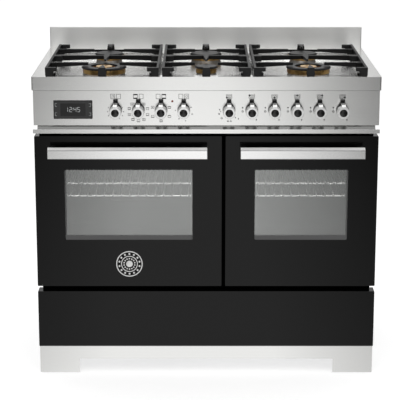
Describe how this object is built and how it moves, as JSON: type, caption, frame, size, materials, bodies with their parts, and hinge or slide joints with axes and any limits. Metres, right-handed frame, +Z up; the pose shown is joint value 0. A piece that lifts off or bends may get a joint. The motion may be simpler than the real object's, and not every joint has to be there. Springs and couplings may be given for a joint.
{
  "type": "range cooker",
  "caption": "Range cooker with two drop-down oven doors, a storage drawer, a gas hob with lift-off cast pan supports, turning knobs and an upstand.",
  "frame": {"origin": "on the floor, under the middle of the whole box", "axes": "+Z up, -Y out of the front (the doors open towards -Y), +X to the right as seen from the front"},
  "size_m": [1, 0.65, 0.96],
  "materials": {
    "brushed_steel": "brushed",
    "galvanised": "satin sheet",
    "black_enamel": "gloss enamel",
    "grey_enamel": "vitreous enamel",
    "door_liner": "enamel",
    "cast_iron": "matt enamelled",
    "burner_cap": "satin enamel",
    "brass": "turned",
    "chromed_wire": "bright",
    "knob_metal": "satin chrome with black skirt",
    "handle_steel": "brushed",
    "window_glass": "grey tinted",
    "display_glass": "black printed",
    "red_lens": "gloss",
    "lamp_glass": "frosted",
    "element_steel": "heat-darkened",
    "machine_steel": "plain",
    "gasket": "matt",
    "black_plastic": "matt"
  },
  "bodies": {
    "cabinet": {"side_panels": "galvanised", "rear_panel": "galvanised", "base_tray": "galvanised", "front_frame": "black_enamel", "trim_strip": "brushed_steel", "plinth": "brushed_steel", "levelling_feet": "machine_steel", "drawer_runners": "galvanised", "left_oven_cavity": "grey_enamel", "right_oven_cavity": "grey_enamel", "oven_racks": "chromed_wire", "rack_guides": "chromed_wire", "grill_elements": "element_steel", "fan_motor": "machine_steel", "fan_cover": "grey_enamel", "door_seals": "gasket", "oven_lamps": "lamp_glass", "cooling_blower": "galvanised", "control_panel": "brushed_steel", "display": "display_glass", "indicator_lamp": "red_lens", "oven_switches": "black_plastic", "gas_manifold": "brass", "hob_top": "brushed_steel", "backsplash": "brushed_steel", "burner_bodies": "brass", "burner_crowns": "brass", "burner_caps": "burner_cap", "terminal_box": "black_plastic", "door_hinges": "galvanised"},
    "oven_fan": {"oven_fan": "machine_steel"},
    "left_door": {"left_door_panel": "black_enamel", "left_door_frame": "door_liner", "left_door_glass": "window_glass", "left_door_handle": "handle_steel"},
    "right_door": {"right_door_panel": "black_enamel", "right_door_frame": "door_liner", "right_door_glass": "window_glass", "right_door_handle": "handle_steel"},
    "storage_drawer": {"drawer_front": "black_enamel", "drawer_box": "galvanised"},
    "left_grate": {"left_grate": "cast_iron"},
    "centre_grate": {"centre_grate": "cast_iron"},
    "right_grate": {"right_grate": "cast_iron"},
    "main_thermostat_knob": {"main_thermostat_knob": "knob_metal"},
    "main_selector_knob": {"main_selector_knob": "knob_metal"},
    "second_selector_knob": {"second_selector_knob": "knob_metal"},
    "second_thermostat_knob": {"second_thermostat_knob": "knob_metal"},
    "front_left_knob": {"front_left_knob": "knob_metal"},
    "rear_left_knob": {"rear_left_knob": "knob_metal"},
    "front_centre_knob": {"front_centre_knob": "knob_metal"},
    "rear_centre_knob": {"rear_centre_knob": "knob_metal"},
    "rear_right_knob": {"rear_right_knob": "knob_metal"},
    "front_right_knob": {"front_right_knob": "knob_metal"},
    "front_left_spindle": {"front_left_spindle": "brass"},
    "rear_left_spindle": {"rear_left_spindle": "brass"},
    "front_centre_spindle": {"front_centre_spindle": "brass"},
    "rear_centre_spindle": {"rear_centre_spindle": "brass"},
    "rear_right_spindle": {"rear_right_spindle": "brass"},
    "front_right_spindle": {"front_right_spindle": "brass"}
  },
  "joints": [
    {"name": "left_door_hinge", "type": "hinge", "parent": "cabinet", "child": "left_door", "pos_m": [-0.22575, -0.25, 0.285], "axis": [1, 0, 0], "range_deg": [0, 90], "stiffness_Nm_per_rad": 4, "springref_deg": -34.38},
    {"name": "right_door_hinge", "type": "hinge", "parent": "cabinet", "child": "right_door", "pos_m": [0.276, -0.25, 0.285], "axis": [1, 0, 0], "range_deg": [0, 90], "stiffness_Nm_per_rad": 3, "springref_deg": -34.38},
    {"name": "drawer_slide", "type": "slide", "parent": "cabinet", "child": "storage_drawer", "axis": [0, -1, 0], "range_m": [0, 0.35]},
    {"name": "left_grate_lift", "type": "slide", "parent": "cabinet", "child": "left_grate", "axis": [0, 0, 1], "range_m": [0, 0.12]},
    {"name": "centre_grate_lift", "type": "slide", "parent": "cabinet", "child": "centre_grate", "axis": [0, 0, 1], "range_m": [0, 0.12]},
    {"name": "right_grate_lift", "type": "slide", "parent": "cabinet", "child": "right_grate", "axis": [0, 0, 1], "range_m": [0, 0.12]},
    {"name": "oven_fan_spin", "type": "hinge", "parent": "cabinet", "child": "oven_fan", "pos_m": [-0.22575, 0.2135, 0.5], "axis": [0, 1, 0], "continuous": true},
    {"name": "main_thermostat_turn", "type": "hinge", "parent": "cabinet", "child": "main_thermostat_knob", "pos_m": [-0.26, -0.292, 0.7975], "axis": [0, 1, 0], "range_deg": [0, 290]},
    {"name": "main_selector_turn", "type": "hinge", "parent": "cabinet", "child": "main_selector_knob", "pos_m": [-0.195, -0.292, 0.7975], "axis": [0, 1, 0], "continuous": true},
    {"name": "second_selector_turn", "type": "hinge", "parent": "cabinet", "child": "second_selector_knob", "pos_m": [-0.13, -0.292, 0.7975], "axis": [0, 1, 0], "continuous": true},
    {"name": "second_thermostat_turn", "type": "hinge", "parent": "cabinet", "child": "second_thermostat_knob", "pos_m": [-0.065, -0.292, 0.7975], "axis": [0, 1, 0], "range_deg": [0, 290]},
    {"name": "front_left_push", "type": "slide", "parent": "cabinet", "child": "front_left_spindle", "axis": [0, 1, 0], "range_m": [0, 0.003], "stiffness_N_per_m": 1500, "springref_m": -0.003},
    {"name": "front_left_turn", "type": "hinge", "parent": "front_left_spindle", "child": "front_left_knob", "pos_m": [0.065, -0.292, 0.7975], "axis": [0, -1, 0], "range_deg": [0, 210]},
    {"name": "rear_left_push", "type": "slide", "parent": "cabinet", "child": "rear_left_spindle", "axis": [0, 1, 0], "range_m": [0, 0.003], "stiffness_N_per_m": 1500, "springref_m": -0.003},
    {"name": "rear_left_turn", "type": "hinge", "parent": "rear_left_spindle", "child": "rear_left_knob", "pos_m": [0.13, -0.292, 0.7975], "axis": [0, -1, 0], "range_deg": [0, 210]},
    {"name": "front_centre_push", "type": "slide", "parent": "cabinet", "child": "front_centre_spindle", "axis": [0, 1, 0], "range_m": [0, 0.003], "stiffness_N_per_m": 1500, "springref_m": -0.003},
    {"name": "front_centre_turn", "type": "hinge", "parent": "front_centre_spindle", "child": "front_centre_knob", "pos_m": [0.195, -0.292, 0.7975], "axis": [0, -1, 0], "range_deg": [0, 210]},
    {"name": "rear_centre_push", "type": "slide", "parent": "cabinet", "child": "rear_centre_spindle", "axis": [0, 1, 0], "range_m": [0, 0.003], "stiffness_N_per_m": 1500, "springref_m": -0.003},
    {"name": "rear_centre_turn", "type": "hinge", "parent": "rear_centre_spindle", "child": "rear_centre_knob", "pos_m": [0.26, -0.292, 0.7975], "axis": [0, -1, 0], "range_deg": [0, 210]},
    {"name": "rear_right_push", "type": "slide", "parent": "cabinet", "child": "rear_right_spindle", "axis": [0, 1, 0], "range_m": [0, 0.003], "stiffness_N_per_m": 1500, "springref_m": -0.003},
    {"name": "rear_right_turn", "type": "hinge", "parent": "rear_right_spindle", "child": "rear_right_knob", "pos_m": [0.325, -0.292, 0.7975], "axis": [0, -1, 0], "range_deg": [0, 210]},
    {"name": "front_right_push", "type": "slide", "parent": "cabinet", "child": "front_right_spindle", "axis": [0, 1, 0], "range_m": [0, 0.003], "stiffness_N_per_m": 1500, "springref_m": -0.003},
    {"name": "front_right_turn", "type": "hinge", "parent": "front_right_spindle", "child": "front_right_knob", "pos_m": [0.39, -0.292, 0.7975], "axis": [0, -1, 0], "range_deg": [0, 210]}
  ]
}
